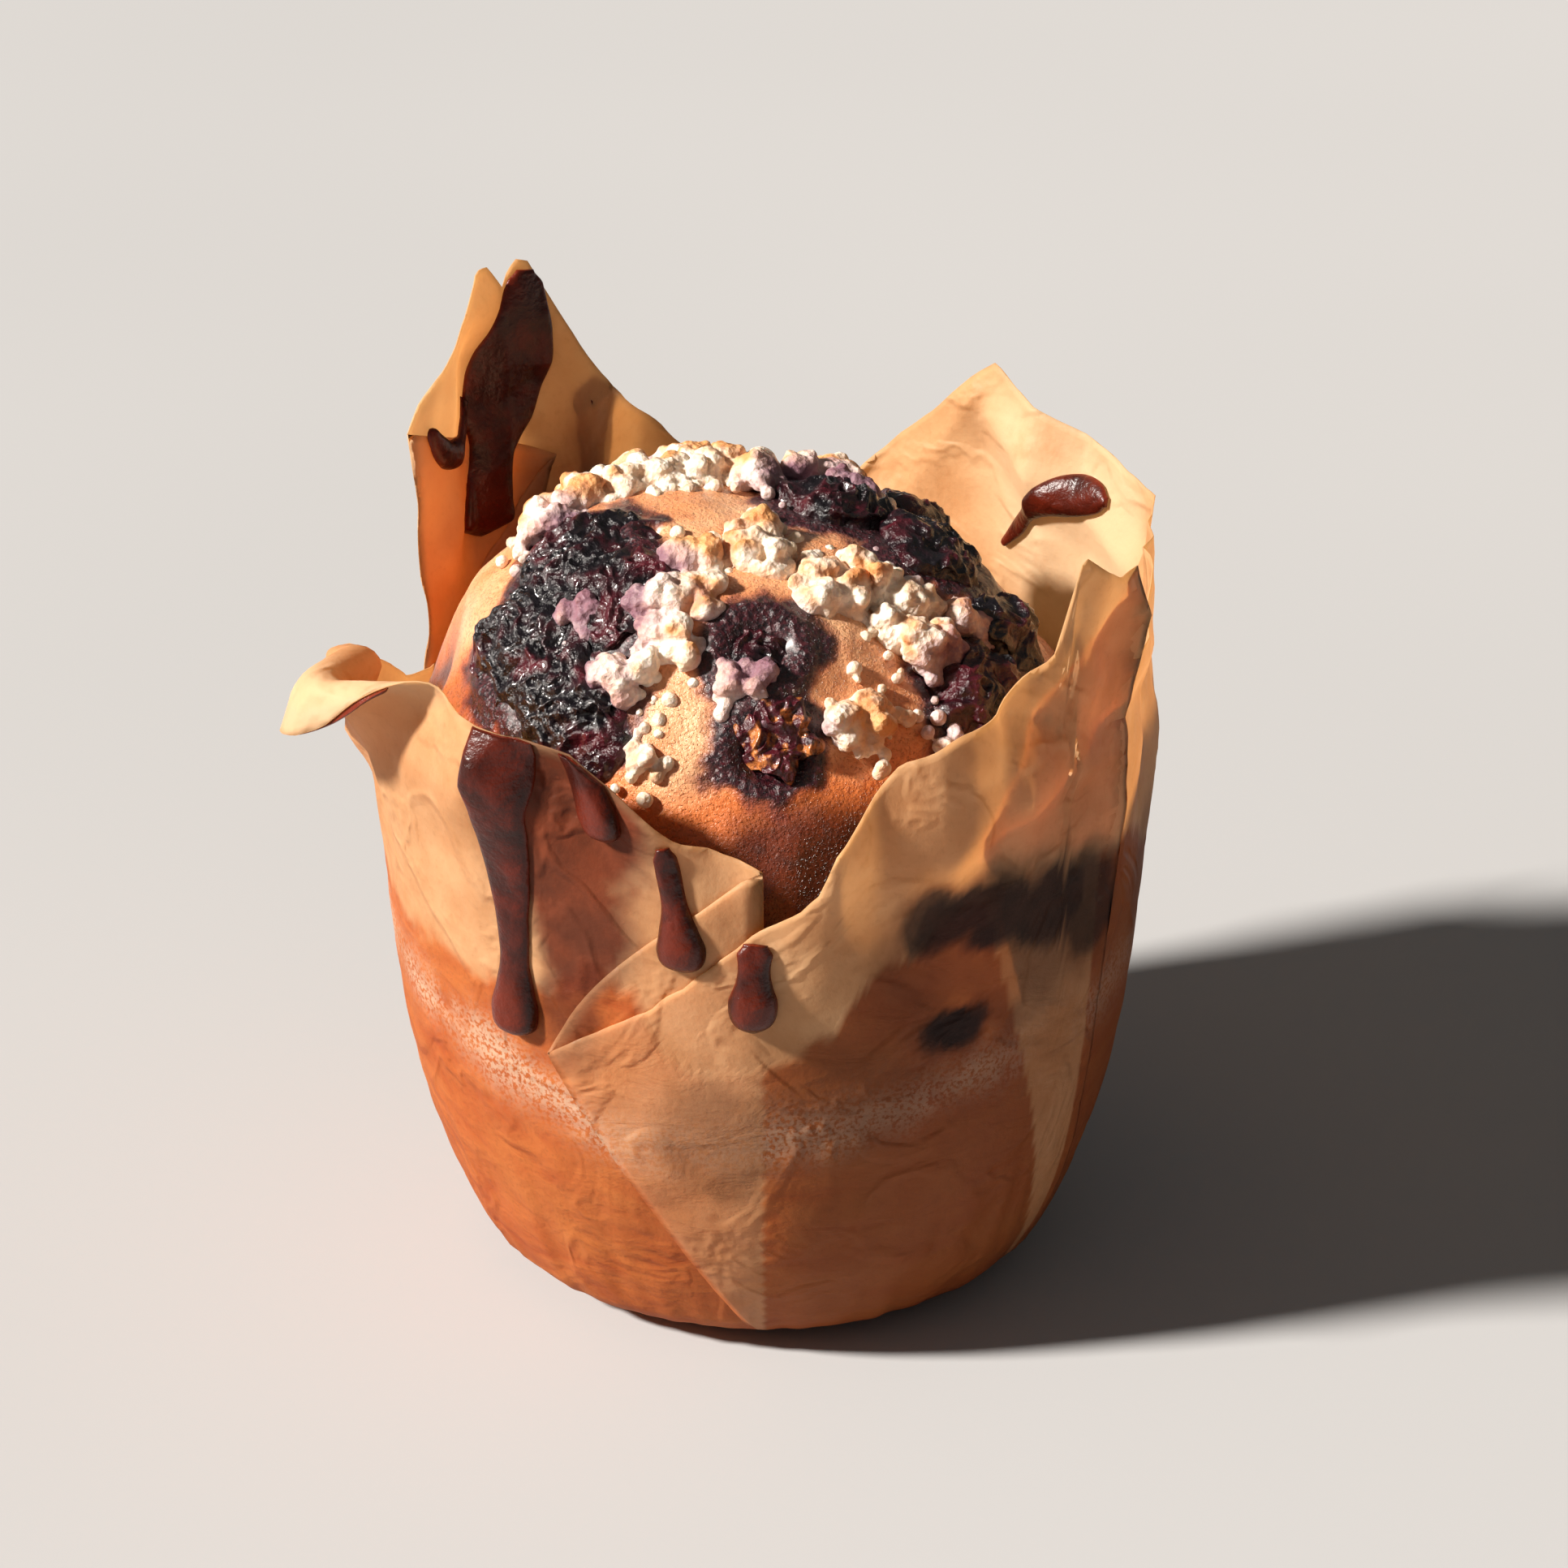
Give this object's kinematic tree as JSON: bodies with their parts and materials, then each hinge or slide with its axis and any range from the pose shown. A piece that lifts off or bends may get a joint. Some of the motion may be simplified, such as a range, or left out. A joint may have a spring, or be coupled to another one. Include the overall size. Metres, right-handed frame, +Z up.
{
  "type": "blueberry crumble muffin in a paper wrapper",
  "caption": "Domed berry muffin with streusel crumbles on top, baked in a folded square of brown baking paper with chocolate runs.",
  "frame": {"origin": "middle of the flat bottom that the muffin stands on", "axes": "+Z up, -Y towards the front where the low fold of the paper is, +X to the viewer's right"},
  "size_m": [0.0808, 0.0784, 0.09],
  "materials": {
    "baking_paper": "matte",
    "muffin_crumb": "satin",
    "streusel": "matte",
    "blueberry": "gloss",
    "chocolate": "satin"
  },
  "bodies": {
    "root": {"paper_wrapper": "baking_paper", "streusel_crown_left": "streusel", "streusel_crown_right": "streusel", "streusel_upper_left": "streusel", "streusel_high": "streusel", "streusel_centre": "streusel", "streusel_right_inner": "streusel", "streusel_right_outer": "streusel", "streusel_middle": "streusel", "streusel_ball": "streusel", "streusel_low": "streusel", "streusel_left_small": "streusel", "streusel_front_right": "streusel", "streusel_right_crumb": "streusel", "streusel_rim_crumb": "streusel", "streusel_back_left": "streusel", "streusel_back_right": "streusel", "streusel_back_low": "streusel", "berry_left_upper": "blueberry", "berry_left_middle": "blueberry", "berry_left_inner": "blueberry", "berry_left_lower": "blueberry", "berry_top": "blueberry", "berry_top_right": "blueberry", "berry_right_shoulder": "blueberry", "berry_right": "blueberry", "berry_middle": "blueberry", "berry_front": "blueberry", "berry_back_left": "blueberry", "berry_back_right": "blueberry", "muffin_crumb": "muffin_crumb", "chocolate_long_run": "chocolate", "chocolate_short_run": "chocolate", "chocolate_slim_run": "chocolate", "chocolate_flap_run": "chocolate", "chocolate_curl_edge": "chocolate", "chocolate_tall_run": "chocolate", "chocolate_side_run": "chocolate", "chocolate_back_spot": "chocolate", "chocolate_rear_run": "chocolate"}
  },
  "joints": []
}
